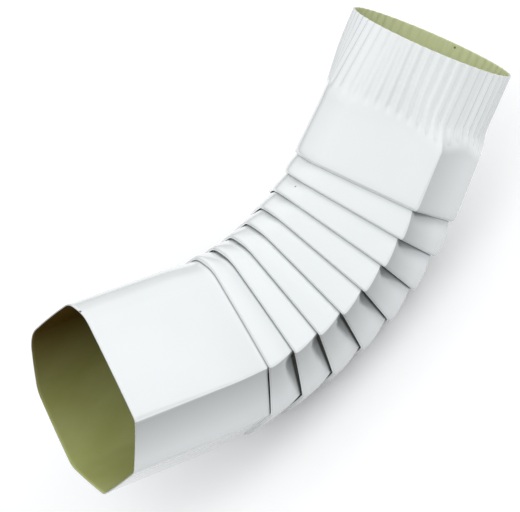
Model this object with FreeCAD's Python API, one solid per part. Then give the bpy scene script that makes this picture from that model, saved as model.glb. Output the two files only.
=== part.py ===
"""Pleated downspout elbow, bent from one painted steel tube.

The section is an eight-sided tube with rounded corners: a narrow flat on the inside of the bend
(the throat), a wide flat on the outside (the heel), two side flats and four long chamfers.
One end is plain and takes the pipe above it. The bend is a row of Z-folds, deep at the throat and
shallow at the heel, and each fold's lip faces the plain end. The other end is drawn in to a round
rim and crimped with grooves all round, so that it slips into the pipe below.

It is modelled as it rests, on the lips of its two middle folds, with the bend in the XZ plane
and the origin on the ground under the middle of its overall box.
"""
import FreeCAD
import Part
import math
import os

V = FreeCAD.Vector

SIZES = (
    ("section_depth", 102.6, "outside of the tube from throat flat to heel flat"),
    ("section_width", 102.0, "outside of the tube across the side flats' throat edges"),
    ("throat_flat", 15.2, "width of the flat on the inside of the bend, between sharp corners"),
    ("heel_flat", 31.5, "width of the flat on the outside of the bend, between sharp corners"),
    ("side_flat_up", 12.0, "side flat's sharp edge towards the throat, from the tube's centre"),
    ("side_flat_down", 20.6, "side flat's sharp edge towards the heel, from the tube's centre"),
    ("side_lean", 3.9, "how much nearer the middle a side flat lies at its heel edge"),
    ("throat_level", 3.2, "what the rounded corners beside the throat flat leave level of it"),
    ("upper_corner", 4.0, "outside corner radius at the side flat's throat edge"),
    ("lower_corner", 5.0, "outside corner radius at the side flat's heel edge"),
    ("heel_corner", 7.0, "outside corner radius beside the heel flat"),
    ("sheet", 0.5, "thickness of the painted sheet"),
    ("bend_angle", 60.0, "angle that the bend turns, in degrees"),
    ("bend_radius", 135.5, "from the bend's centre to the tube's centre"),
    ("pleat_count", 8, "folds in the bend"),
    ("fold_shift", 2.35, "how far the folds lie towards the crimped end, in degrees of the bend"),
    ("plain_leg", 66.6, "straight length of the plain end"),
    ("crimped_leg", 76.7, "straight length of the crimped end, grooves included"),
    ("fold_gap", 0.4, "air between the layers of a lip"),
    ("first_gap", 0.6, "air between the plain leg's sunk end and the first lip"),
    ("heel_tuck", 1.2, "depth of a fold at the heel"),
    ("lip_rounding", 0.4, "how much the outer edges of a rolled lip are taken off"),
    ("lip_throat", 0.3, "how far a lip stands out past the tube at the throat flat"),
    ("lip_upper", 0.2, "the same on the chamfers beside the throat"),
    ("lip_side", 0.5, "the same on the side flats"),
    ("lip_lower", 0.6, "the same on the chamfers beside the heel"),
    ("lip_heel", 0.7, "the same at the heel flat"),
    ("step_throat", 2.7, "height of a lip above the band before it at the throat flat"),
    ("step_upper", 1.8, "the same on the chamfers beside the throat"),
    ("step_side", 3.7, "the same on the side flats"),
    ("step_lower", 4.2, "the same on the chamfers beside the heel"),
    ("step_heel", 4.5, "the same at the heel flat"),
    ("band_swell", 0.85, "how far a band is crowned at the heel, half-way along it"),
    ("crimp_length", 40.5, "from the rim to where the drawing in begins at the middle of a flat"),
    ("crimp_scallop", 5.0, "how much earlier it begins at the side flats' throat edge"),
    ("crimp_slope", 9.5, "length over which the outline turns round and the grooves deepen"),
    ("crimp_waist", 1.0, "how far the tube is narrowed before that"),
    ("waist_length", 1.5, "least length that stays straight between narrowing and crimp"),
    ("rim_width", 89.4, "outside of the round crimped end over its crests"),
    ("groove_depth", 1.2, "depth of the crimped grooves"),
    ("groove_count", 50, "grooves round the crimped end"),
)

# Facets that stand for the round of each corner, from the throat to the heel
CORNER_FACETS = (4, 2, 2, 3)
# How far the start of the crimp is drawn out at each of those corners, as a share
CORNER_SCALLOP = (0.15, 1.0, 0.7, 0.3)
# How much of the heel's swell each kind of flat takes, from the throat to the heel
SWELL_SHARES = (0.35, 0.45, 0.9, 0.95, 1.0)
# Points along each groove and its crest, and how narrow the groove is beside its crest
GROOVE_POINTS = 6
GROOVE_SHARPNESS = 1.4
# The row between tube and grooves: its place, how round it is and how deep its grooves are
HALF_WAY_PLACE = 0.6
HALF_WAY_ROUND = 0.75
HALF_WAY_GROOVE = 0.65

WHOLE_TURN = 2 * math.pi


def driving_sizes(doc):
    """Fill the sheet of driving sizes and read it back as named values."""
    sheet = doc.addObject("Spreadsheet::Sheet", "sizes")
    for row, (name, value, meaning) in enumerate(SIZES, start=1):
        sheet.set(f"A{row}", name)
        sheet.set(f"B{row}", str(value))
        sheet.setAlias(f"B{row}", name)
        sheet.set(f"C{row}", meaning)
    doc.recompute()
    return {name: float(getattr(sheet, name)) for name, value, meaning in SIZES}


def mirrored(half):
    """A list for the whole section from its half, which begins and ends on the mirror plane."""
    return list(half) + list(half)[-2:0:-1]


def crossing(first, second):
    """The corner where two lines of the section meet, each an outward angle and a distance."""
    (angle, distance), (other_angle, other_distance) = first, second
    turn = math.sin(other_angle - angle)
    x = (distance * math.sin(other_angle) - other_distance * math.sin(angle)) / turn
    y = (other_distance * math.cos(angle) - distance * math.cos(other_angle)) / turn
    return x, y


class Section:
    """The eight flats of the tube. Its plane has x towards the throat and y towards one side.

    The five kinds of flat, from the throat to the heel, each have an outward angle, a distance
    from the tube's centre and a middle, which is how far towards the throat it lies.
    """

    def __init__(self, size):
        half_depth = size["section_depth"] / 2
        half_width = size["section_width"] / 2
        corners = [
            (half_depth, size["throat_flat"] / 2),
            (size["side_flat_up"], half_width),
            (-size["side_flat_down"], half_width - size["side_lean"]),
            (-half_depth, size["heel_flat"] / 2),
        ]
        self.angles = [0.0]
        self.distances = [half_depth]
        self.middles = [half_depth]
        for start, end in zip(corners, corners[1:]):
            angle = math.atan2(start[0] - end[0], end[1] - start[1])
            self.angles.append(angle)
            self.distances.append(start[0] * math.cos(angle) + start[1] * math.sin(angle))
            self.middles.append((start[0] + end[0]) / 2)
        self.angles.append(math.pi)
        self.distances.append(half_depth)
        self.middles.append(-half_depth)
        shoulder = (size["throat_flat"] - size["throat_level"]) / 2
        throat_corner = shoulder / math.tan(self.angles[1] / 2)
        self.radii = [throat_corner, size["upper_corner"], size["lower_corner"],
                      size["heel_corner"]]

    def facets(self, distances, radii):
        """Outward angle and distance of every facet, each flat and then the corner after it."""
        angles = self.angles + [WHOLE_TURN - angle for angle in self.angles[-2:0:-1]]
        flats = list(zip(angles, mirrored(distances)))
        corners = zip(list(radii) + list(radii)[::-1], mirrored_corners(CORNER_FACETS))
        facets = []
        for index, (radius, count) in enumerate(corners):
            angle, distance = flats[index]
            next_angle, next_distance = flats[(index + 1) % len(flats)]
            if next_angle < angle:
                next_angle += WHOLE_TURN
            centre = crossing((angle, distance - radius), (next_angle, next_distance - radius))
            facets.append((angle, distance))
            for step in range(count):
                facing = angle + (next_angle - angle) * (step + 0.5) / count
                reach = centre[0] * math.cos(facing) + centre[1] * math.sin(facing) + radius
                facets.append((facing, reach))
        return facets


def mirrored_corners(half):
    """A list for all eight corners from the four on one side of the mirror plane."""
    return list(half) + list(half)[::-1]


class Plane:
    """A plane in space, by its normal and how far along it the plane lies."""

    def __init__(self, normal, reach):
        self.normal = normal
        self.reach = reach

    def meet(self, second, third):
        """The point that lies on three planes."""
        one_two = self.normal.cross(second.normal)
        two_three = second.normal.cross(third.normal)
        three_one = third.normal.cross(self.normal)
        sum_of_all = two_three * self.reach + three_one * second.reach + one_two * third.reach
        return sum_of_all * (1 / self.normal.dot(two_three))


class Station:
    """A place along the bend. The bend's centre is the origin and the heel is below it.

    turn is measured from straight down and grows from the plain end to the crimped end.
    """

    def __init__(self, size, turn):
        self.forward = V(math.cos(turn), 0, math.sin(turn))
        self.throatward = V(-math.sin(turn), 0, math.cos(turn))
        self.centre = self.throatward * -size["bend_radius"]
        self.heel = self.centre - self.throatward * (size["section_depth"] / 2)

    def plane(self, along=0.0, lean=0.0):
        """The plane across the tube, moved along it and leant forward about the heel."""
        normal = self.forward * math.cos(lean) - self.throatward * math.sin(lean)
        return Plane(normal, normal.dot(self.heel + self.forward * along))

    def outward(self, angle):
        return self.throatward * math.cos(angle) + V(0, 1, 0) * math.sin(angle)


class Tube:
    """A straight or flared tube of flat facets about the tube's centre line at one station.

    offsets move each kind of flat outward at the station, and slopes draw it in along the tube.
    """

    def __init__(self, section, station, offsets, slopes):
        self.station = station
        distances = [distance + offset for distance, offset in zip(section.distances, offsets)]
        radii = [radius + min(pair) for radius, pair in
                 zip(section.radii, zip(offsets, offsets[1:]))]
        onward = [distance - slope for distance, slope in zip(distances, slopes)]
        here = section.facets(distances, radii)
        there = section.facets(onward, radii)
        self.facets = [(angle, reach, reach - next_reach)
                       for (angle, reach), (next_angle, next_reach) in zip(here, there)]

    def row(self, plane):
        """The corners of the outline that a plane cuts out of the tube."""
        sides = []
        for angle, reach, slope in self.facets:
            normal = self.station.outward(angle) + self.station.forward * slope
            sides.append(Plane(normal, reach + normal.dot(self.station.centre)))
        return [sides[index - 1].meet(side, plane) for index, side in enumerate(sides)]


class Elbow:
    """The sheet's two skins, each a chain of rows of points from the plain end to the other.

    inward is how deep below the outer skin a tube lies.
    """

    def __init__(self, size):
        self.size = size
        self.section = Section(size)
        self.pleats = int(size["pleat_count"])
        self.half_bend = math.radians(size["bend_angle"]) / 2
        self.pitch = 2 * self.half_bend / self.pleats
        shift = math.radians(size["fold_shift"])
        self.begin_turn = -self.half_bend - shift
        self.end_turn = self.half_bend - shift
        self.lips = [size["lip_throat"], size["lip_upper"], size["lip_side"],
                     size["lip_lower"], size["lip_heel"]]
        self.steps = [size["step_throat"], size["step_upper"], size["step_side"],
                      size["step_lower"], size["step_heel"]]
        self.from_bend = [size["bend_radius"] - middle for middle in self.section.middles]
        self.level = [0.0] * len(self.lips)
        self.sink_turn = self.lip_turn(0) - self.pitch / 2
        rise = 1 / math.cos(self.pitch / 2) - 1
        self.chord_sags = [distance * rise * math.cos(angle)
                           for distance, angle in zip(self.from_bend, self.section.angles)]
        self.lip_depth = 2 * size["sheet"] + size["fold_gap"]
        crimp = size["crimp_length"] + size["crimp_scallop"]
        self.waist_start = size["crimped_leg"] - crimp - size["waist_length"]

    def lip_turn(self, number):
        """Where the lip of a fold lies. The folds are spread evenly about the lowest place."""
        return -self.half_bend + (number + 0.5) * self.pitch

    def tube(self, turn, offsets, slopes, inward):
        sunk = [offset - inward for offset in offsets]
        return Tube(self.section, Station(self.size, turn), sunk, slopes)

    def plain_leg(self, inward):
        return self.tube(self.begin_turn, self.level, self.level, inward)

    def sunk_leg(self, inward):
        """The end of the plain leg, drawn in just enough to pass under the first lip."""
        depth = self.lip_depth + self.size["first_gap"]
        slopes = [(depth - lip - sag) / (distance * math.tan(self.pitch / 2))
                  for lip, sag, distance in zip(self.lips, self.chord_sags, self.from_bend)]
        return self.tube(self.sink_turn, self.level, slopes, inward)

    def half_band(self, number, inward, rear):
        """The front or rear half of the crowned band between the lips of two folds."""
        half_way = self.pitch / 2
        offsets = []
        slopes = []
        for kind, (lip, step) in enumerate(zip(self.lips, self.steps)):
            crown = lip - step / 2 + self.size["band_swell"] * SWELL_SHARES[kind]
            sag = self.chord_sags[kind]
            fall = crown - (lip - step + sag) if rear else lip + sag - crown
            offsets.append(crown)
            slopes.append(fall / (self.from_bend[kind] * math.tan(half_way)))
        return self.tube(self.lip_turn(number) + half_way, offsets, slopes, inward)

    def crimped_leg(self, inward):
        return self.tube(self.end_turn, self.lips, self.level, inward)

    def waist(self, inward):
        """The narrowed tube between the last band and the grooves."""
        return self.tube(self.end_turn, self.level, self.level, inward + self.size["crimp_waist"])

    def before(self, number, inward):
        """What goes in under the lip of a fold."""
        if number == 0:
            return self.sunk_leg(inward)
        return self.half_band(number - 1, inward, rear=True)

    def after(self, number, inward):
        """What begins with the lip of a fold."""
        if number == self.pleats - 1:
            return self.crimped_leg(inward)
        return self.half_band(number, inward, rear=False)

    def outer_fold(self, number):
        """One Z-fold from outside: into the tuck, back out under the lip and round the lip."""
        size = self.size
        rounding = size["lip_rounding"]
        station = Station(size, self.lip_turn(number))
        tuck = station.plane(size["heel_tuck"], self.pitch / 2)
        lip = station.plane()
        behind_lip = station.plane(rounding)
        return [
            self.before(number, 0.0).row(tuck),
            self.after(number, self.lip_depth).row(tuck),
            self.after(number, self.lip_depth).row(behind_lip),
            self.after(number, self.lip_depth - rounding).row(lip),
            self.after(number, rounding).row(lip),
            self.after(number, 0.0).row(behind_lip),
        ]

    def inner_fold(self, number):
        """The same fold from inside: round the tuck, into the lip and out of it again."""
        size = self.size
        sheet = size["sheet"]
        station = Station(size, self.lip_turn(number))
        tuck = station.plane(size["heel_tuck"] + sheet, self.pitch / 2)
        lip = station.plane(sheet)
        return [
            self.before(number, sheet).row(tuck),
            self.after(number, self.lip_depth - sheet).row(tuck),
            self.after(number, self.lip_depth - sheet).row(lip),
            self.after(number, sheet).row(lip),
        ]

    def rows(self, inner):
        """All rows whose facets join one to one, from the plain end to the narrowed waist."""
        size = self.size
        inward = size["sheet"] if inner else 0.0
        begin = Station(size, self.begin_turn)
        end = Station(size, self.end_turn)
        plain = self.plain_leg(inward)
        mitre = Station(size, (self.begin_turn + self.sink_turn) / 2)
        sink = Station(size, self.sink_turn)
        rows = [plain.row(begin.plane(-size["plain_leg"])), plain.row(mitre.plane()),
                self.sunk_leg(inward).row(sink.plane())]
        for number in range(self.pleats):
            rows += self.inner_fold(number) if inner else self.outer_fold(number)
            if number < self.pleats - 1:
                crown = Station(size, self.lip_turn(number) + self.pitch / 2)
                rows.append(self.half_band(number, inward, rear=True).row(crown.plane()))
        rows.append(self.crimped_leg(inward).row(end.plane()))
        rows.append(self.waist(inward).row(end.plane(self.waist_start)))
        return rows

    def grooved(self, turn, inward, groove_share):
        """A place on the round crimped outline, in the plane across the crimped leg's start."""
        size = self.size
        wave = (1 + math.cos(size["groove_count"] * turn)) / 2
        depth = inward + size["groove_depth"] * groove_share * wave ** GROOVE_SHARPNESS
        end = Station(size, self.end_turn)
        return end.centre + end.outward(turn) * (size["rim_width"] / 2 - depth)

    def points_per_facet(self):
        """How many points of the crimped rows each facet of the tube takes."""
        corners = self.waist(0.0).row(Station(self.size, self.end_turn).plane())
        lengths = [(end - start).Length for start, end in zip(corners, corners[1:] + corners[:1])]
        return shared_out(int(self.size["groove_count"]) * GROOVE_POINTS, lengths)

    def crimp_rows(self, inner):
        """The crimp: where the drawing in begins, half-way down, the grooves' foot and the rim."""
        size = self.size
        inward = size["sheet"] if inner else 0.0
        end = Station(size, self.end_turn)
        corners = self.waist(inward).row(end.plane())
        counts = self.points_per_facet()
        first_half = counts[0] // 2
        start, half_way, foot, rim = [], [], [], []
        for side, (count, stretch) in enumerate(zip(counts, scallops())):
            corner = corners[side]
            along_side = corners[(side + 1) % len(corners)] - corner
            for step in range(count):
                turn = WHOLE_TURN * (len(start) - first_half) / sum(counts)
                on_tube = corner + along_side * (step / count)
                half_round = self.grooved(turn, inward, HALF_WAY_GROOVE)
                grooved = self.grooved(turn, inward, 1.0)
                earlier = size["crimp_scallop"] * scallop_at(stretch, step / count)
                level = size["crimped_leg"] - size["crimp_length"] - earlier
                start.append(on_tube + end.forward * level)
                half_way.append(on_tube + (half_round - on_tube) * HALF_WAY_ROUND
                                + end.forward * (level + size["crimp_slope"] * HALF_WAY_PLACE))
                foot.append(grooved + end.forward * (level + size["crimp_slope"]))
                rim.append(grooved + end.forward * size["crimped_leg"])
        return start, half_way, foot, rim, counts

    def skin_faces(self, inner):
        rows = self.rows(inner)
        start, half_way, foot, rim, counts = self.crimp_rows(inner)
        faces = []
        for row, next_row in zip(rows, rows[1:]):
            faces += strip(row, next_row)
        first = 0
        last = rows[-1]
        for side, count in enumerate(counts):
            edge = [start[(first + step) % len(start)] for step in range(count + 1)]
            faces.append(face_of([last[side]] + edge + [last[(side + 1) % len(last)]]))
            first += count
        faces += creased_strip(start, half_way)
        faces += creased_strip(half_way, foot)
        faces += strip(foot, rim)
        return faces, rows[0], rim

    def solid(self):
        outside, outer_mouth, outer_rim = self.skin_faces(inner=False)
        inside, inner_mouth, inner_rim = self.skin_faces(inner=True)
        rings = strip(outer_mouth, inner_mouth) + strip(outer_rim, inner_rim)
        shell = Part.makeShell(outside + inside + rings)
        shell.sewShape()
        solid = Part.makeSolid(shell)
        if solid.Volume < 0:
            solid.reverse()
        return solid


def shared_out(total, lengths):
    """Points for each facet, as even as the lengths allow and alike on both sides.

    They are counted from the middle of the first facet, which lies on the mirror plane.
    """
    spacing = sum(lengths) / total
    travelled = lengths[0] / 2
    placed = round(travelled / spacing)
    counts = [2 * placed]
    for length in lengths[1:]:
        travelled += length
        reached = round(travelled / spacing)
        counts.append(reached - placed)
        placed = reached
    return counts


def scallops():
    """For each facet once round, the scallop's share at its two ends and whether it is a flat."""
    shares = mirrored_corners(CORNER_SCALLOP)
    stretches = []
    for index, (share, count) in enumerate(zip(shares, mirrored_corners(CORNER_FACETS))):
        stretches.append((shares[index - 1], share, True))
        stretches += [(share, share, False)] * count
    return stretches


def scallop_at(stretch, share):
    """The scallop's share at a place along a facet: on a flat it dips to nothing half-way."""
    begin, finish, flat = stretch
    reached = begin + (finish - begin) * share
    return reached * abs(2 * share - 1) if flat else reached


def face_of(points):
    return Part.Face(Part.makePolygon(points + points[:1]))


def strip(row, next_row):
    """Flat faces, side by side, between two rows of as many points."""
    faces = []
    for index in range(len(row)):
        faces.append(face_of([row[index - 1], row[index], next_row[index], next_row[index - 1]]))
    return faces


def creased_strip(row, next_row):
    """The same for rows whose faces are twisted: each becomes two triangles."""
    faces = []
    for index in range(len(row)):
        faces.append(face_of([row[index - 1], row[index], next_row[index]]))
        faces.append(face_of([row[index - 1], next_row[index], next_row[index - 1]]))
    return faces


def elbow_shell(doc, size):
    """The whole elbow: one folded sheet."""
    piece = doc.addObject("Part::Feature", "elbow")
    piece.Label = "elbow_shell"
    shape = Elbow(size).solid()
    piece.Shape = shape
    box = shape.BoundBox
    piece.Placement.Base = V(-box.Center.x, 0, -box.ZMin)
    return piece


def write_parts(doc, pieces):
    """Check every object of the document, then write one file for each piece."""
    doc.recompute()
    for thing in doc.Objects:
        if "Invalid" in thing.State or "Error" in thing.State:
            raise RuntimeError(f"{thing.Name} failed: {thing.State}")
    for piece in pieces:
        if piece.Shape.isNull() or not piece.Shape.isValid():
            raise RuntimeError(f"{piece.Label} has no valid shape")
    os.makedirs("parts", exist_ok=True)
    for piece in pieces:
        piece.Shape.exportStep(f"parts/{piece.Label}.step")


doc = FreeCAD.newDocument("downspout_elbow")
sizes = driving_sizes(doc)
write_parts(doc, [elbow_shell(doc, sizes)])
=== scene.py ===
"""Looks of the pleated downspout elbow: painted white outside, olive wash coat inside.

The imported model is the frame. One finer skin stands for its single solid: the same eight-sided tube
with rounded corners, rolled fold lips, slightly sprung flats and smooth crimp grooves.
Lengths are in millimetres until the mesh is made, and the bend's centre is the origin of the shape.
The section's x goes towards the throat, the inside of the bend, and its y towards one side.
"""
import math
import bpy
from mathutils import Matrix, Vector


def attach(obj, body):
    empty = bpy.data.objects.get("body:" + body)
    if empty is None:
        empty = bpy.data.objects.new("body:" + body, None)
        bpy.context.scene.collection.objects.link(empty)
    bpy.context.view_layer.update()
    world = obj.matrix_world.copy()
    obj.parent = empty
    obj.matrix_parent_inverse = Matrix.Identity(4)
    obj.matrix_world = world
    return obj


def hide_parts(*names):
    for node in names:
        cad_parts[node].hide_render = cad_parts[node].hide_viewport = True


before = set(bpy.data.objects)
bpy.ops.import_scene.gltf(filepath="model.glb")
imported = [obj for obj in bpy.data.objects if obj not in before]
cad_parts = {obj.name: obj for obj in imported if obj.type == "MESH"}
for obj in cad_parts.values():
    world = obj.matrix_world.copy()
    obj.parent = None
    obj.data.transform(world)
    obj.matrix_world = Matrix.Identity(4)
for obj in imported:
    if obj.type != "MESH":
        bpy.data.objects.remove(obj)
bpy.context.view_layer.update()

MM = 0.001

# Sizes of the tube, the same as the part's own
SECTION_DEPTH = 102.6
SECTION_WIDTH = 102.0
THROAT_FLAT = 15.2
HEEL_FLAT = 31.5
SIDE_FLAT_UP = 12.0
SIDE_FLAT_DOWN = 20.6
SIDE_LEAN = 3.9
SHEET = 0.5
BEND_ANGLE = 60.0
BEND_RADIUS = 135.5
PLEATS = 8
PLAIN_LEG = 66.6
CRIMPED_LEG = 76.7
FOLD_SHIFT = 2.35
HEEL_TUCK = 1.2

# Outside radii of the four kinds of corner, from the throat to the heel
CORNER_RADII = (15.6, 2.6, 5.0, 7.0)
LEAST_RADIUS = 0.8
# The same at the plain mouth, where the far side has sprung open, and how far along the leg that lasts
NEAR_MOUTH_RADII = (15.6, 5.0, 6.0, 8.0)
FAR_MOUTH_RADII = (14.0, 20.0, 14.0, 10.0)
SPRUNG_SHARE = 0.75

# Folds, flat by flat from the throat to the heel: the step up to a lip, how far the lip stands out,
# its rounding and the fall behind it
STEPS = (2.4, 1.5, 2.6, 2.5, 2.8)
LIP_OUT = (1.5, 0.45, 0.5, 0.5, 0.26)
LIP_ROUND = (0.65, 0.5, 0.6, 0.6, 0.6)
LIP_FALL = (1.6, 0.5, 0.8, 1.2, 1.2)
LIP_FALL_SHARE = 0.13
FIRST_STEP_SHARE = 0.35
LAYER_GAP = 0.15
INNER_STEP = 1.5 * SHEET
LONGEST_TUCK = 0.95

# Bands between the folds: how they swell, how steeply they fall and how the side flats are pressed in
BAND_SWELL = 0.45
BAND_FALL_POWER = 1.3
SIDE_PINCH = 2.1
TUCK_PINCH_SHARE = 0.5
PINCH_FROM = 0.4
PINCH_HIGH_POWER = 0.5
PINCH_ROUND_POWER = 1.2

# Flats: how far they are crowned, and the least width of a flat that is crowned in full
CROWN = 0.35
CROWNED_FLAT = 30.0

# Plain leg's neck, which draws in under the first lip, and the crimped leg's fall behind the last lip
NECK_FROM = 0.75
NECK_DEPTH_SHARE = 0.8
LAST_LIP_FALL = 0.2

# Crimped end
RIM_WIDTH = 89.4
RIM_SKEW = 0.013
CRIMP_LENGTH = 34.0
CRIMP_SCALLOP = 5.0
CRIMP_FADE = 8.0
CRIMP_WAIST = 1.0
CORNER_SCALLOP = (0.15, 1.0, 0.7, 0.3)
FLAT_SCALLOP = 0.1
FOOT_MARGIN = 1.0
DRAW_STRETCH = 1.6
THROAT_FADE = 2.4
GROOVES = 50
GROOVE_DEPTH = 0.95
GROOVE_DELAY = 1.5
GROOVE_EASE = 0.8
GROOVE_POWER = 1.15

# Painted shade in the paint's colour, from nought to one: below the side flats' upper edge, and before
# the lips
CORNER_SHADE = 0.52
CORNER_SHADE_DEPTH = 24.0
CORNER_SHADE_FROM = 0.7
CRIMPED_LEG_SHADE = 0.65
SIDES_BELOW = 14.0
SIDES_EASE = 6.0
UPPER_SEAM_SHADE = 0.55
SEAM_LINE = 0.5
SEAM_WEDGE = 1.2
WEDGE_TAPER = 0.7
TAPER_BELOW = 8.0
TAPER_LENGTH = 30.0

# How finely the skin is divided
CORNER_STEPS = 7
FLAT_STEPS = (2, 10, 7, 9, 6)
PLAIN_LEG_SHARES = (0.0, 0.02, 0.2, 0.4, 0.6, 0.75, 0.85, 0.92, 0.97, 0.99)
BAND_SHARES = (0.02, 0.05, 0.09, 0.14, 0.25, 0.4, 0.55, 0.7, 0.84, 0.94, 0.985)
CRIMPED_LEG_SHARES = (0.02, 0.05, 0.09, 0.14, 0.25, 0.4, 0.6, 0.8, 1.0)
LIP_ROWS = 5
FADE_ROWS = 16
FADE_REACH = 0.45
RIM_SHARES = (0.8, 0.55, 0.3, 0.1, 0.02, 0.0)
GROOVE_STEPS = 12

HALF_BEND = math.radians(BEND_ANGLE) / 2
PITCH = 2 * HALF_BEND / PLEATS
BEGIN_TURN = -HALF_BEND - math.radians(FOLD_SHIFT)
END_TURN = HALF_BEND - math.radians(FOLD_SHIFT)

# Materials of the skin, by face
PAINT, WASH, EDGE = range(3)


def mirrored(half):
    """A list for the whole section from its half, which begins and ends on the mirror plane."""
    return list(half) + list(half)[-2:0:-1]


def section_flats():
    """Outward angle and distance of the five kinds of flat, from the throat to the heel."""
    corners = [
        (SECTION_DEPTH / 2, THROAT_FLAT / 2),
        (SIDE_FLAT_UP, SECTION_WIDTH / 2),
        (-SIDE_FLAT_DOWN, SECTION_WIDTH / 2 - SIDE_LEAN),
        (-SECTION_DEPTH / 2, HEEL_FLAT / 2),
    ]
    angles = [0.0]
    distances = [SECTION_DEPTH / 2]
    for start, end in zip(corners, corners[1:]):
        angle = math.atan2(start[0] - end[0], end[1] - start[1])
        angles.append(angle)
        distances.append(start[0] * math.cos(angle) + start[1] * math.sin(angle))
    return angles + [math.pi], distances + [SECTION_DEPTH / 2]


ANGLES, DISTANCES = section_flats()
ALL_ANGLES = ANGLES + [2 * math.pi - angle for angle in ANGLES[-2:0:-1]]
SIDE_FLAT = 2


def crossing(first, second):
    """The corner where two lines of the section meet, each an outward angle and a distance."""
    (angle, distance), (other_angle, other_distance) = first, second
    turn = math.sin(other_angle - angle)
    x = (distance * math.sin(other_angle) - other_distance * math.sin(angle)) / turn
    y = (other_distance * math.cos(angle) - distance * math.cos(other_angle)) / turn
    return x, y


def section_lines():
    """The eight lines of the section, once round from the throat."""
    return list(zip(ALL_ANGLES, mirrored(DISTANCES)))


def flat_middles():
    """How far towards the throat the middle of each kind of flat lies."""
    lines = section_lines()
    middles = []
    for kind in range(len(DISTANCES)):
        before = crossing(lines[kind - 1], lines[kind])
        after = crossing(lines[kind], lines[kind + 1])
        middles.append((before[0] + after[0]) / 2)
    return middles


MIDDLES = flat_middles()


def smooth(share):
    """A share that starts and ends gently, held between nought and one."""
    share = min(1.0, max(0.0, share))
    return share * share * (3 - 2 * share)


def moved(offsets, amount):
    return [offset + amount for offset in offsets]


def blended(first, second, share):
    return [a + (b - a) * share for a, b in zip(first, second)]


def rounded_corners(distances, radii):
    """Centre, radius and the two facing angles of each rounded corner, once round."""
    flats = list(zip(ALL_ANGLES, mirrored(distances)))
    found = []
    for index, radius in enumerate(radii):
        angle, distance = flats[index]
        next_angle, next_distance = flats[(index + 1) % len(flats)]
        if next_angle < angle:
            next_angle += 2 * math.pi
        centre = crossing((angle, distance - radius), (next_angle, next_distance - radius))
        found.append((centre, radius, angle, next_angle))
    return found


def on_round(corner, share):
    """The point at a share of a rounded corner, and the angle that it faces."""
    centre, radius, angle, next_angle = corner
    facing = angle + (next_angle - angle) * share
    return centre[0] + radius * math.cos(facing), centre[1] + radius * math.sin(facing), facing


def outline(offsets, radii, pinch=0.0, other_radii=None):
    """Points of the section: towards the throat, towards one side, the angle each faces, its shade.

    offsets move the five kinds of flat outward, pinch presses the side flats in between their
    corners, and the corners of the other side may have radii of their own.
    """
    distances = [distance + offset for distance, offset in zip(DISTANCES, offsets)]
    corners = rounded_corners(distances, list(radii) + list(other_radii or radii)[::-1])
    upper_corners = (1, len(corners) - 2)
    kinds = mirrored(range(len(DISTANCES)))
    points = []
    for index, (kind, corner) in enumerate(zip(kinds, corners)):
        start = on_round(corners[index - 1], 1.0)
        end = on_round(corner, 0.0)
        facing = ALL_ANGLES[index]
        length = math.hypot(end[0] - start[0], end[1] - start[1])
        heelward = index <= len(DISTANCES) - 1
        for step in range(1, FLAT_STEPS[kind]):
            share = step / FLAT_STEPS[kind]
            bulge = CROWN * min(1.0, length / CROWNED_FLAT) * 4 * share * (1 - share)
            shade = 0.0
            if kind == SIDE_FLAT:
                below = share if heelward else 1 - share
                bulge -= pinch * math.sin(math.pi * below ** PINCH_HIGH_POWER) ** PINCH_ROUND_POWER
                # Painted shade below the side flats' upper edge
                shade = corner_shade(below * length)
            x = start[0] + (end[0] - start[0]) * share + bulge * math.cos(facing)
            y = start[1] + (end[1] - start[1]) * share + bulge * math.sin(facing)
            points.append((x, y, facing, shade))
        for step in range(CORNER_STEPS + 1):
            share = step / CORNER_STEPS
            below = share if heelward else 1 - share
            # The lower part of the upper corners carries the full painted shade below the side flats'
            # edge
            shaded = index in upper_corners and below > CORNER_SHADE_FROM
            points.append((*on_round(corner, share), corner_shade(0.0) if shaded else 0.0))
    return points


def corner_shade(below):
    """Painted shade just below the sharp edge at the top of the side flats, standing in for the darker
    reflection there.
    """
    return CORNER_SHADE * max(0.0, 1 - below / CORNER_SHADE_DEPTH)


def corner_radii(offsets, radii=CORNER_RADII):
    """The radii of one side's corners, larger where the flats beside them stand out."""
    pairs = zip(offsets, offsets[1:])
    return [max(LEAST_RADIUS, radius + min(pair)) for radius, pair in zip(radii, pairs)]


def lip_turn(number):
    """Where the lip of a fold lies along the bend. Fold 0 is next to the plain leg."""
    return -HALF_BEND + (number + 0.5) * PITCH


def on_sides(x):
    """One at the heights of the side flats and below them, and nought above."""
    return smooth((SIDES_BELOW - x) / SIDES_EASE)


def seam_shade(x):
    """How dark the painted shade is right at a lip."""
    return UPPER_SEAM_SHADE + (1 - UPPER_SEAM_SHADE) * on_sides(x)


def fold_shade(x, before):
    """How dark the painted shade lies so far before a fold's lip: a thin line above, a wider wedge on the
    sides.
    """
    wedge = SEAM_WEDGE - WEDGE_TAPER * smooth((TAPER_BELOW - x) / TAPER_LENGTH)
    return seam_shade(x) * max(0.0, 1.0 - before / (SEAM_LINE + on_sides(x) * wedge))


def bend_row(turn, reach_at, offsets, pinch=0.0, shade_at=None):
    """A row round the tube in the bend, as points and shades.

    reach_at says how far beyond the turn each height x lies, and shade_at how dark it is there.
    """
    row = []
    for x, y, facing, shade in outline(offsets, corner_radii(offsets), pinch):
        radius = BEND_RADIUS - x
        reached = turn + reach_at(x) / radius
        point = Vector((radius * math.sin(reached), y, -radius * math.cos(reached)))
        row.append((point, max(shade_at(x), shade) if shade_at else shade))
    return row


def leg_directions(turn):
    """Forward along a straight leg that leaves the bend at this turn, and towards its throat."""
    return Vector((math.cos(turn), 0, math.sin(turn))), Vector((-math.sin(turn), 0, math.cos(turn)))


def leg_point(directions, x, y, along):
    forward, throatward = directions
    return throatward * (x - BEND_RADIUS) + Vector((0, y, 0)) + forward * along


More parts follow.
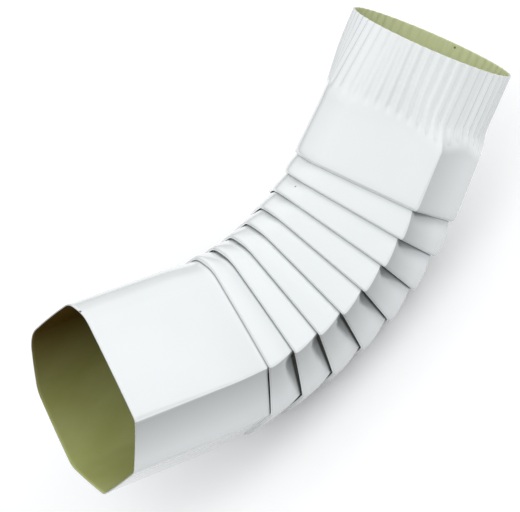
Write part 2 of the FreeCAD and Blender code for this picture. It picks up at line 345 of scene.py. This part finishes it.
def leg_row(turn, along_at, offsets, sprung=0.0, darkness=1.0):
    """A row round a straight leg, as points and shades.

    along_at says how far along the leg each height x lies, sprung how far the corners have opened as
    at the plain mouth, and darkness how much of the shade below the side flats' edge there is.
    """
    near, far = [corner_radii(offsets, blended(CORNER_RADII, radii, sprung))
                 for radii in (NEAR_MOUTH_RADII, FAR_MOUTH_RADII)]
    directions = leg_directions(turn)
    return [(leg_point(directions, x, y, along_at(x)), shade * darkness)
            for x, y, facing, shade in outline(offsets, far, 0.0, near)]


def tuck_reach(x):
    """How far beyond its lip a fold's tuck lies: little at the heel and most of a band at the throat."""
    return HEEL_TUCK + (x + SECTION_DEPTH / 2) * math.tan(PITCH / 2)


def band_length(x):
    return PITCH * (BEND_RADIUS - x)


def tuck_share(x):
    """The share of a band under which the tuck at its beginning reaches."""
    return min(LONGEST_TUCK, tuck_reach(x) / band_length(x))


def band_offset(number, kind, share):
    """How far one kind of flat stands out, at a share of the band that begins at a fold's lip."""
    rolled = LIP_FALL[kind] * max(0.0, 1 - share / LIP_FALL_SHARE) ** 2
    if number == PLEATS - 1:
        return LIP_OUT[kind] - LAST_LIP_FALL * share - rolled
    fall = (LIP_OUT[kind] + STEPS[kind]) * share ** BAND_FALL_POWER
    return LIP_OUT[kind] - fall - rolled + BAND_SWELL * math.sin(math.pi * share)


def band_offsets(number, share_at):
    return [band_offset(number, kind, share_at(x)) for kind, x in enumerate(MIDDLES)]


def lip_offsets(number):
    return band_offsets(number, lambda x: 0.0)


def foot_level():
    """How far from the rim the drawing in towards the grooves begins."""
    return CRIMP_LENGTH + CRIMP_SCALLOP + CRIMP_FADE + FOOT_MARGIN


def leg_start(x):
    """How far along the crimped leg the last fold's lip lies at this height."""
    return (BEND_RADIUS - x) * math.tan(lip_turn(PLEATS - 1) - END_TURN)


def leg_offset(kind, x, along):
    """How far a flat of the crimped leg stands out, so far from the last fold's lip."""
    reached = along / (CRIMPED_LEG - foot_level() - leg_start(x))
    wide = band_offset(PLEATS - 1, kind, reached)
    return wide + (-CRIMP_WAIST - wide) * reached


def tuck_cover(number):
    """How far each flat stands out where the tuck lies under it."""
    if number == PLEATS - 1:
        return [leg_offset(kind, x, tuck_reach(x)) for kind, x in enumerate(MIDDLES)]
    return band_offsets(number, tuck_share)


def sunk_offsets(number, stretch):
    """How deep the tucked end of a band lies: at the lip, or where it turns back at the tuck."""
    over = tuck_cover(number) if stretch == "tuck" else lip_offsets(number)
    depth = FIRST_STEP_SHARE if number == 0 else 1.0
    return [min(-step * depth, cover - 2 * rounding - LAYER_GAP)
            for step, cover, rounding in zip(STEPS, over, LIP_ROUND)]


def fold_pinch(number):
    """How far the side flats are pressed in under a lip, less at the shallow first fold."""
    return SIDE_PINCH if number else SIDE_PINCH * FIRST_STEP_SHARE


def plain_leg_rows(inward):
    """From the mouth to the first fold, drawn in a little just before it."""
    rows = []
    lean = lip_turn(0) - BEGIN_TURN
    deep = sunk_offsets(0, "lip")
    for share in PLAIN_LEG_SHARES:
        neck = smooth((share - NECK_FROM) / (1 - NECK_FROM))
        offsets = moved(blended([0.0] * len(deep), deep, NECK_DEPTH_SHARE * neck), -inward)
        rows.append(leg_row(
            BEGIN_TURN,
            lambda x: share * (PLAIN_LEG + (BEND_RADIUS - x) * math.tan(lean)) - PLAIN_LEG,
            offsets,
            1 - smooth(share / SPRUNG_SHARE)))
    return rows


def fold_rows(number):
    """One fold from outside: the sunk end, the tuck, the underside of the lip and the rolled lip."""
    turn = lip_turn(number)
    pinch = fold_pinch(number)
    under = [cover - 2 * rounding for cover, rounding in zip(tuck_cover(number), LIP_ROUND)]
    # The sunk end, the tuck and the lip's underside carry painted shade
    rows = [
        bend_row(turn, lambda x: 0.0, sunk_offsets(number, "lip"), pinch, seam_shade),
        bend_row(turn, tuck_reach, sunk_offsets(number, "tuck"), pinch * TUCK_PINCH_SHARE, lambda x: 1.0),
        bend_row(turn, tuck_reach, under, 0.0, lambda x: 1.0),
    ]
    for step in range(LIP_ROWS + 1):
        angle = math.pi * step / LIP_ROWS
        offsets = [out - rounding * (1 + math.cos(angle))
                   for out, rounding in zip(lip_offsets(number), LIP_ROUND)]
        back = max(LIP_ROUND) * (1 - math.sin(angle))
        rows.append(bend_row(turn, lambda x: back, offsets))
    return rows


def inner_fold_rows(number):
    """The same fold from inside: the tucked end, then a plain step outward behind it."""
    turn = lip_turn(number)
    pinch = fold_pinch(number)
    return [
        bend_row(turn, lambda x: 0.0, moved(sunk_offsets(number, "lip"), -SHEET), pinch),
        bend_row(turn, tuck_reach, moved(sunk_offsets(number, "tuck"), -SHEET), pinch * TUCK_PINCH_SHARE),
        bend_row(turn, lambda x: tuck_reach(x) + SHEET, moved(tuck_cover(number), -INNER_STEP)),
    ]


def band_rows(number, inner):
    """The band after a fold, as far as the next one. Inside, it begins behind the tuck."""
    rows = []
    turn = lip_turn(number)
    for part in BAND_SHARES:
        def share_at(x):
            begin = tuck_share(x) if inner else 0.0
            return begin + (1 - begin) * part

        pinch = SIDE_PINCH * smooth((share_at(0.0) - PINCH_FROM) / (1 - PINCH_FROM))
        offsets = moved(band_offsets(number, share_at), -SHEET if inner else 0.0)
        # Painted shade darkens the band just before the next lip
        rows.append(bend_row(turn, lambda x: share_at(x) * band_length(x), offsets, pinch,
                             lambda x: fold_shade(x, (1 - share_at(x)) * band_length(x))))
    return rows


def crimped_leg_rows(inner):
    """From the last fold to the foot of the grooves, drawing in a little."""
    rows = []
    finish = CRIMPED_LEG - foot_level()
    for share in CRIMPED_LEG_SHARES:
        def along_at(x):
            begin = leg_start(x) + (tuck_reach(x) + SHEET if inner else 0.0)
            return begin + share * (finish - begin)

        offsets = [leg_offset(kind, x, along_at(x) - leg_start(x)) for kind, x in enumerate(MIDDLES)]
        rows.append(leg_row(END_TURN, along_at, moved(offsets, -SHEET if inner else 0.0),
                            0.0, CRIMPED_LEG_SHADE))
    return rows


def leg_outline(count, inward):
    """The narrowed section again, evenly divided."""
    offsets = [-CRIMP_WAIST - inward] * len(DISTANCES)
    return evenly(outline(offsets, corner_radii(offsets)), count)


def crimp_outline(count, inward):
    """The round outline of the crimped end over its crests, evenly divided."""
    radius = RIM_WIDTH / 2 - inward
    angles = [2 * math.pi * index / count for index in range(count)]
    return [(radius * math.cos(angle), radius * math.sin(angle), angle) for angle in angles]


def evenly(points, count):
    """Evenly spaced points along a closed outline, from its first point onward."""
    x, y, facing, shade = points[0]
    closed = list(points) + [(x, y, facing + 2 * math.pi, shade)]
    reached = [0.0]
    for first, second in zip(closed, closed[1:]):
        reached.append(reached[-1] + math.hypot(second[0] - first[0], second[1] - first[1]))
    found = []
    index = 0
    for step in range(count):
        target = reached[-1] * step / count
        while reached[index + 1] <= target:
            index += 1
        share = (target - reached[index]) / (reached[index + 1] - reached[index])
        found.append(blended(closed[index], closed[index + 1], share))
    return found


def scallop_knots():
    """How much further the grooves run out at the corners and flats, by the way round to each."""
    lines = section_lines()
    corners = [crossing(first, second) for first, second in zip(lines, lines[1:len(DISTANCES)])]
    places = [(SECTION_DEPTH / 2, 0.0)] + corners + [(-SECTION_DEPTH / 2, 0.0)]
    reached = [0.0]
    for first, second in zip(places, places[1:]):
        reached.append(reached[-1] + math.dist(first, second))
    knots = [(0.0, 0.0)]
    for index, share in enumerate(CORNER_SCALLOP, 1):
        after = (reached[index] + reached[index + 1]) / 2 if index < len(CORNER_SCALLOP) else reached[-1]
        knots.append((math.pi * reached[index] / reached[-1], share))
        knots.append((math.pi * after / reached[-1], FLAT_SCALLOP))
    return knots


SCALLOP_KNOTS = scallop_knots()


def scallop_at(facing):
    """How much further the grooves run out at this angle round the end."""
    turned = facing % (2 * math.pi)
    turned = min(turned, 2 * math.pi - turned)
    for (angle, share), (next_angle, next_share) in zip(SCALLOP_KNOTS, SCALLOP_KNOTS[1:]):
        if turned <= next_angle:
            part = (turned - angle) / (next_angle - angle)
            return share + (next_share - share) * smooth(part)
    return 0.0


def drawn_in(facing, start, level):
    """How far the section has turned into the round rim. At the throat it does so over a longer way."""
    throat = max(0.0, math.cos(facing)) ** 2
    length = CRIMP_FADE * DRAW_STRETCH * (1 + THROAT_FADE * throat)
    reached = min(1.0, max(0.0, (start + FOOT_MARGIN - level) / length))
    eased = smooth(reached)
    return eased + (reached - eased) * throat


def crimp_rows(inward):
    """The grooved stretch: the outline draws in and the grooves deepen, row by row, to the rim."""
    directions = leg_directions(END_TURN)
    count = GROOVES * GROOVE_STEPS
    wide = leg_outline(count, inward)
    tight = crimp_outline(count, inward)
    levels = [foot_level() * (1 - FADE_REACH * step / FADE_ROWS) for step in range(1, FADE_ROWS + 1)]
    levels += [levels[-1] * share for share in RIM_SHARES]
    rows = []
    for level in levels:
        row = []
        for index, (wide_point, tight_point) in enumerate(zip(wide, tight)):
            facing = tight_point[2]
            start = CRIMP_LENGTH + CRIMP_SCALLOP * scallop_at(facing) + CRIMP_FADE
            drawn = drawn_in(facing, start, level)
            deep = smooth((start - GROOVE_DELAY - level) / (CRIMP_FADE * GROOVE_EASE))
            wave = (1 + math.cos(2 * math.pi * index / GROOVE_STEPS)) / 2
            press = GROOVE_DEPTH * deep * wave ** GROOVE_POWER
            x = wide_point[0] + (tight_point[0] - wide_point[0]) * drawn - press * math.cos(facing)
            y = wide_point[1] + (tight_point[1] - wide_point[1]) * drawn - press * math.sin(facing)
            skew = RIM_SKEW * (y - x - RIM_WIDTH / 2)
            along = CRIMPED_LEG - level + skew * (1 - level / foot_level())
            shade = CRIMPED_LEG_SHADE * wide_point[3] * (1 - drawn)
            row.append((leg_point(directions, x, y, along), shade))
        rows.append(row)
    return rows


class Skin:
    """Vertices and faces of the mesh, with the shade of each vertex and the material of each face."""

    def __init__(self):
        self.points = []
        self.shades = []
        self.faces = []
        self.coats = []

    def add_row(self, row):
        """Adds a row's points and returns their numbers."""
        start = len(self.points)
        self.points += [point for point, shade in row]
        self.shades += [shade for point, shade in row]
        return list(range(start, start + len(row)))

    def face(self, corners, coat, turned):
        self.faces.append(corners[::-1] if turned else corners)
        self.coats.append(coat)

    def join(self, row, next_row, coat, turned=False):
        """Four-sided faces between two rows of as many points."""
        for index in range(len(row)):
            corners = [row[index - 1], row[index], next_row[index], next_row[index - 1]]
            self.face(corners, coat, turned)

    def zip_up(self, row, next_row, coat, turned=False):
        """Triangles between two rows of unlike counts that both begin at the throat's middle."""
        angles = self.angles_round(row)
        next_angles = self.angles_round(next_row)
        first = 0
        second = 0
        while first < len(row) or second < len(next_row):
            here = row[first % len(row)]
            there = next_row[second % len(next_row)]
            next_is_done = second == len(next_row)
            if next_is_done or (first < len(row) and angles[first + 1] < next_angles[second + 1]):
                first += 1
                self.face([here, row[first % len(row)], there], coat, turned)
            else:
                second += 1
                self.face([here, next_row[second % len(next_row)], there], coat, turned)

    def angles_round(self, row):
        """Angles of a row's points about the crimped leg's centre line, up to a whole turn."""
        throatward = leg_directions(END_TURN)[1]
        angles = []
        for index in row:
            height = self.points[index].dot(throatward) + BEND_RADIUS
            angles.append(math.atan2(self.points[index].y, height) % (2 * math.pi))
        angles[0] = 0.0
        return angles + [2 * math.pi]


def folded_rows(inner):
    """All evenly matched rows of one face of the sheet, from the mouth to the foot of the grooves."""
    rows = plain_leg_rows(SHEET if inner else 0.0)
    for number in range(PLEATS):
        rows += inner_fold_rows(number) if inner else fold_rows(number)
        if number < PLEATS - 1:
            rows += band_rows(number, inner)
    return rows + crimped_leg_rows(inner)


def build_skin():
    """Both faces of the sheet and the cut edges at its two ends."""
    skin = Skin()
    ends = []
    for inner in (False, True):
        labels = [skin.add_row(row) for row in folded_rows(inner)]
        fine = [skin.add_row(row) for row in crimp_rows(SHEET if inner else 0.0)]
        coat = WASH if inner else PAINT
        for first, second in zip(labels, labels[1:]):
            skin.join(first, second, coat, inner)
        skin.zip_up(labels[-1], fine[0], coat, inner)
        for first, second in zip(fine, fine[1:]):
            skin.join(first, second, coat, inner)
        ends.append((labels[0], fine[-1]))
    (outer_mouth, outer_rim), (inner_mouth, inner_rim) = ends
    skin.join(inner_mouth, outer_mouth, EDGE)
    skin.join(outer_rim, inner_rim, EDGE)
    return skin


def resting_shift(points):
    """The move that centres the elbow over the origin with its lowest point on the ground."""
    low_x = min(point.x for point in points)
    high_x = max(point.x for point in points)
    low_z = min(point.z for point in points)
    return Vector((-(low_x + high_x) / 2, 0, -low_z))


def placed(name, data):
    """A new object in the scene."""
    made = bpy.data.objects.new(name, data)
    bpy.context.scene.collection.objects.link(made)
    return made


def make_piece(name, skin, shift, materials):
    mesh = bpy.data.meshes.new(name)
    mesh.from_pydata([(point + shift) * MM for point in skin.points], [], skin.faces)
    for material in materials:
        mesh.materials.append(material)
    for polygon, coat in zip(mesh.polygons, skin.coats):
        polygon.material_index = coat
        polygon.use_smooth = coat != EDGE
    shades = mesh.attributes.new("fold_shade", "FLOAT", "POINT")
    shades.data.foreach_set("value", skin.shades)
    mesh.validate()
    return placed(name, mesh)


def set_stops(ramp, stops):
    """Gives a colour ramp its stops, each a position and a colour."""
    while len(ramp.elements) < len(stops):
        ramp.elements.new(0.5)
    for element, (position, colour) in zip(ramp.elements, stops):
        element.position = position
        element.color = (*colour, 1.0)


class Nodes:
    """Short calls for building a material's nodes."""

    def __init__(self, name, **sockets):
        self.material = bpy.data.materials.new(name)
        self.material.use_nodes = True
        self.tree = self.material.node_tree
        self.shader = self.tree.nodes["Principled BSDF"]
        for key, value in sockets.items():
            self.shader.inputs[key.replace("_", " ")].default_value = value

    def add(self, kind, **settings):
        """A new node. Each setting is a property of it or else one of its sockets."""
        node = self.tree.nodes.new(kind)
        for key, value in settings.items():
            if hasattr(node, key):
                setattr(node, key, value)
            else:
                node.inputs[key.replace("_", " ")].default_value = value
        return node

    def link(self, output, target):
        self.tree.links.new(output, target)

    def place(self):
        """The place on the object, in metres."""
        return self.add("ShaderNodeTexCoord").outputs["Object"]

    def noise(self, scale, detail, stretch=(1.0, 1.0, 1.0)):
        """Noise in the object's own space, where one unit is a metre."""
        mapping = self.add("ShaderNodeMapping", Scale=stretch)
        self.link(self.place(), mapping.inputs["Vector"])
        noise = self.add("ShaderNodeTexNoise", Scale=scale, Detail=detail)
        self.link(mapping.outputs["Vector"], noise.inputs["Vector"])
        return noise.outputs["Fac"]

    def blend(self, factor, first, second):
        """A colour between two, of which the second is given plainly."""
        node = self.add("ShaderNodeMix", data_type="RGBA")
        factor_socket, first_socket, second_socket = (node.inputs[index] for index in (0, 6, 7))
        self.link(factor, factor_socket)
        self.link(first, first_socket)
        second_socket.default_value = (*second, 1.0)
        return node.outputs[2]

    def share_between(self, value, low, high):
        """From nought to one, gently, as a value goes from low to high."""
        share = self.add("ShaderNodeMapRange", interpolation_type="SMOOTHSTEP")
        share.inputs["From Min"].default_value = low
        share.inputs["From Max"].default_value = high
        self.link(value, share.inputs["Value"])
        return share.outputs["Result"]

    def slope(self, direction, low, high):
        """From nought to one as the object's own place goes this far in a direction, in metres."""
        along = self.add("ShaderNodeVectorMath", operation="DOT_PRODUCT")
        along.inputs[1].default_value = direction
        self.link(self.place(), along.inputs[0])
        return self.share_between(along.outputs["Value"], low, high)

    def mark(self, spot, radius):
        """One at a small mark at this place on the object, in metres, and nought elsewhere."""
        away = self.add("ShaderNodeVectorMath", operation="DISTANCE")
        away.inputs[1].default_value = spot
        self.link(self.place(), away.inputs[0])
        return self.share_between(away.outputs["Value"], radius, radius / 2)

    def calculate(self, operation, first, second):
        node = self.add("ShaderNodeMath", operation=operation)
        self.link(first, node.inputs[0])
        self.link(second, node.inputs[1])
        return node.outputs[0]

    def ramp(self, factor, *stops):
        """Colours by a factor. Each stop is a position and a colour."""
        node = self.add("ShaderNodeValToRGB")
        set_stops(node.color_ramp, stops)
        self.link(factor, node.inputs["Fac"])
        return node.outputs["Color"]

    def bump(self, height, strength, distance):
        node = self.add("ShaderNodeBump", Strength=strength, Distance=distance)
        self.link(height, node.inputs["Height"])
        self.link(node.outputs["Normal"], self.shader.inputs["Normal"])

    def finished(self, colour):
        """The material, with this as its colour."""
        self.link(colour, self.shader.inputs["Base Color"])
        return self.material


# Small marks on the object, in metres: a nick at the plain mouth, a speck on a band and one at the rim
MOUTH_NICK = (-0.0985, -0.003, 0.1517)
NICK_RADIUS = 0.0012
BAND_SPECK = (0.0264, -0.0042, 0.106)
SPECK_RADIUS = 0.0007
RIM_SPECK = (0.1491, 0.0206, 0.0684)
RIM_SPECK_RADIUS = 0.0009

# Colours of the paint and of the wash coat, with the painted shade of the folds and the mouth and the
# painted light at the rim
PAINT_COLOURS = ((0.82, 0.85, 0.85), (0.85, 0.875, 0.88))
# Colour of the painted shade in the folds and below the side flats' upper edge
PAINT_SHADE = (0.075, 0.08, 0.07)
PAINT_MARK = (0.13, 0.12, 0.11)
WASH_COLOURS = ((0.49, 0.53, 0.18), (0.61, 0.65, 0.28))
# Dark brown of the painted shade in the plain mouth
WASH_SHADE = (0.07, 0.032, 0.0)
# Pale of the painted light towards the rim
WASH_LIT = (0.72, 0.76, 0.46)
WASH_MARK = (0.2, 0.2, 0.08)
EDGE_GREYS = ((0.42, 0.43, 0.42), (0.6, 0.61, 0.6))

# Where painted shade darkens the wash to brown, towards the throat and towards the plain mouth, and where
# painted light makes it pale towards the rim
SHADE_THROATWARD = (-0.045, 0.05)
SHADE_MOUTHWARD = (-0.07, 0.0)
LIT_RIMWARD = (0.09, 0.135)
MOUTHWARD = (-1.0, 0.0, 0.0)
RIMWARD = (1.0, 0.0, 0.0)


def paint_white():
    """Gloss white baked paint, cool and very slightly uneven, with painted shade before the fold lips and
    below the side flats' upper edge.
    """
    nodes = Nodes("paint_white", Roughness=0.18, IOR=1.8,
                  Coat_Weight=0.8, Coat_IOR=1.6, Coat_Roughness=0.06)
    patches = nodes.noise(scale=18.0, detail=2.0)
    colour = nodes.ramp(patches, (0.35, PAINT_COLOURS[0]), (0.65, PAINT_COLOURS[1]))
    # Painted shade: darkens the colour before the fold lips and below the side flats' upper edge
    shade = nodes.add("ShaderNodeAttribute", attribute_name="fold_shade").outputs["Fac"]
    colour = nodes.blend(shade, colour, PAINT_SHADE)
    for spot, radius in ((MOUTH_NICK, NICK_RADIUS), (BAND_SPECK, SPECK_RADIUS)):
        colour = nodes.blend(nodes.mark(spot, radius), colour, PAINT_MARK)
    nodes.bump(nodes.noise(scale=900.0, detail=2.0), strength=0.03, distance=0.0002)
    return nodes.finished(colour)


def wash_olive():
    """Olive wash coat, a little streaky along the sheet, with painted shade that darkens it to brown in
    the mouth and painted light that makes it pale at the rim.
    """
    nodes = Nodes("wash_olive", Roughness=0.5, Specular_IOR_Level=0.12)
    streaks = nodes.noise(scale=45.0, detail=3.0, stretch=(0.2, 1.0, 1.0))
    colour = nodes.ramp(streaks, (0.3, WASH_COLOURS[0]), (0.7, WASH_COLOURS[1]))
    throatward = leg_directions(BEGIN_TURN)[1]
    # Painted shade: the throat side of the plain mouth, where little light reaches, is darkened to brown
    mouth_shade = nodes.calculate("MULTIPLY", nodes.slope(throatward, *SHADE_THROATWARD),
                            nodes.slope(MOUTHWARD, *SHADE_MOUTHWARD))
    colour = nodes.blend(mouth_shade, colour, WASH_SHADE)
    # Painted light: the wash is made pale towards the rim, where light comes in through the open end
    colour = nodes.blend(nodes.slope(RIMWARD, *LIT_RIMWARD), colour, WASH_LIT)
    colour = nodes.blend(nodes.mark(RIM_SPECK, RIM_SPECK_RADIUS), colour, WASH_MARK)
    nodes.bump(nodes.noise(scale=300.0, detail=3.0), strength=0.06, distance=0.0002)
    return nodes.finished(colour)


def cut_edge():
    """The sheared edge of the sheet: bare grey steel with a hint of paint."""
    nodes = Nodes("cut_edge", Metallic=0.6, Roughness=0.45)
    grain = nodes.noise(scale=700.0, detail=2.0)
    return nodes.finished(nodes.ramp(grain, (0.3, EDGE_GREYS[0]), (0.7, EDGE_GREYS[1])))


# Stage and light: lengths in metres, power in watts
FLOOR_REACH = 3.0
FLOOR_WHITE = (0.96, 0.96, 0.96)
FLOOR_GREY = (0.42, 0.43, 0.44)
FLOOR_GLOW = (0.12, 0.12, 0.12)
BLACK = (0.0, 0.0, 0.0)
DOME_LEVELS = ((0.0, 0.25), (0.15, 0.32), (0.4, 0.9), (0.8, 0.86))
DOME_TINT = (0.98, 0.99, 1.0)
DOME_STRENGTH = 0.96
LAMP_AIM = Vector((0, 0, 0.07))


def pale_floor():
    """A plain floor, white to the eye and in the paint, of a mid grey to the light it sends on."""
    mesh = bpy.data.meshes.new("floor")
    corners = [(x * FLOOR_REACH, y * FLOOR_REACH, 0) for x, y in ((-1, -1), (1, -1), (1, 1), (-1, 1))]
    mesh.from_pydata(corners, [], [(0, 1, 2, 3)])
    nodes = Nodes("floor_pale", Roughness=1.0, Specular_IOR_Level=0.0, Emission_Strength=1.0)
    path = nodes.add("ShaderNodeLightPath").outputs
    seen = path["Is Camera Ray"]
    for ray in ("Is Glossy Ray", "Is Transmission Ray"):
        seen = nodes.calculate("MAXIMUM", seen, path[ray])
    glow = nodes.ramp(seen, (0.0, BLACK), (1.0, FLOOR_GLOW))
    nodes.link(glow, nodes.shader.inputs["Emission Color"])
    colour = nodes.ramp(path["Is Diffuse Ray"], (0.0, FLOOR_WHITE), (1.0, FLOOR_GREY))
    mesh.materials.append(nodes.finished(colour))
    floor = placed("floor", mesh)


def studio_light():
    """A pale dome that darkens towards the horizon, and two soft lamps."""
    world = bpy.data.worlds.new("studio")
    world.use_nodes = True
    tree = world.node_tree
    background = tree.nodes["Background"]
    place = tree.nodes.new("ShaderNodeTexCoord")
    split = tree.nodes.new("ShaderNodeSeparateXYZ")
    dome = tree.nodes.new("ShaderNodeValToRGB")
    tree.links.new(place.outputs["Generated"], split.inputs["Vector"])
    tree.links.new(split.outputs["Z"], dome.inputs["Fac"])
    tree.links.new(dome.outputs["Color"], background.inputs["Color"])
    set_stops(dome.color_ramp, [(position, [level * part for part in DOME_TINT])
                                for position, level in DOME_LEVELS])
    background.inputs["Strength"].default_value = DOME_STRENGTH
    bpy.context.scene.world = world
    lamp("key", place=(-0.7, -1.0, 1.6), size=1.2, power=8.5)
    lamp("fill", place=(1.4, -0.7, 0.9), size=0.8, power=8.5)


def lamp(name, place, size, power):
    """A soft square lamp aimed at the elbow, which the gloss paint doesn't mirror."""
    data = bpy.data.lights.new(name, "AREA")
    data.size = size
    data.energy = power
    made = placed(name, data)
    made.location = place
    made.visible_glossy = False
    made.rotation_euler = (LAMP_AIM - Vector(place)).to_track_quat("-Z", "Y").to_euler()


# The camera, as the photograph was taken, from the bend's centre
CAMERA_PLACE = Vector((-204.26, -912.26, 762.03))
CAMERA_LOOK = Vector((0.15114, 0.71809, -0.67934))
CAMERA_UP = Vector((0.71675, 0.39366, 0.57558))
FOCAL_PIXELS = 2462.6
PHOTO_WIDTH = 520.0
SENSOR_WIDTH = 36.0


def photo_camera(shift):
    data = bpy.data.cameras.new("photo_camera")
    data.sensor_fit = "HORIZONTAL"
    data.sensor_width = SENSOR_WIDTH
    data.lens = FOCAL_PIXELS / PHOTO_WIDTH * SENSOR_WIDTH
    camera = placed("photo_camera", data)
    back = -CAMERA_LOOK.normalized()
    right = CAMERA_UP.cross(back).normalized()
    up = back.cross(right)
    turn = Matrix((right, up, back)).transposed().to_4x4()
    camera.matrix_world = Matrix.Translation((CAMERA_PLACE + shift) * MM) @ turn
    bpy.context.scene.camera = camera


skin = build_skin()
shift = resting_shift(skin.points)
piece = make_piece("elbow_skin", skin, shift, [paint_white(), wash_olive(), cut_edge()])
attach(piece, "root")
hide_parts("elbow_shell")
pale_floor()
studio_light()
photo_camera(shift)
bpy.context.scene.view_settings.view_transform = "Standard"
